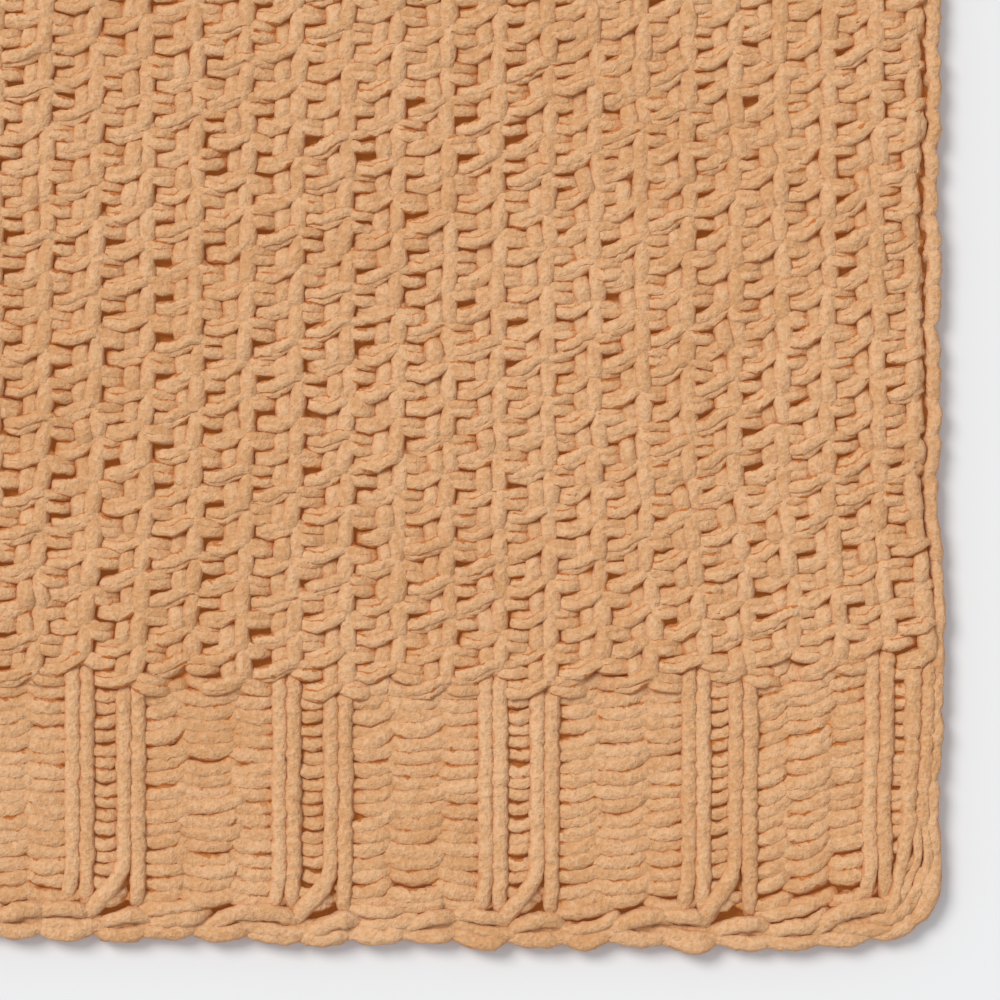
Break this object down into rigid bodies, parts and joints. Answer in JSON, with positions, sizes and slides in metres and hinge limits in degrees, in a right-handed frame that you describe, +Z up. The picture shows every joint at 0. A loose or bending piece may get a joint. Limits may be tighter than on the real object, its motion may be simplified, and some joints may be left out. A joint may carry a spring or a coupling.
{
  "type": "chunky knit blanket, cut corner length",
  "caption": "Cut corner length of a chunky chenille knit blanket lying flat: tuck-stitch field, ribbed border with paired wales, corded cast-on edge and selvedges.",
  "frame": {"origin": "middle of the cloth's flat underside, on the surface it lies on", "axes": "+Z up out of the cloth's face, +Y along the wales from the cast-on edge to the bound-off edge, +X across the wales to the right-hand selvedge"},
  "size_m": [0.4292, 0.4492, 0.0089],
  "materials": {
    "chenille_yarn": "matt tan chenille yarn with a short soft pile"
  },
  "bodies": {
    "root": {"knit_cloth": "chenille_yarn"}
  },
  "joints": []
}
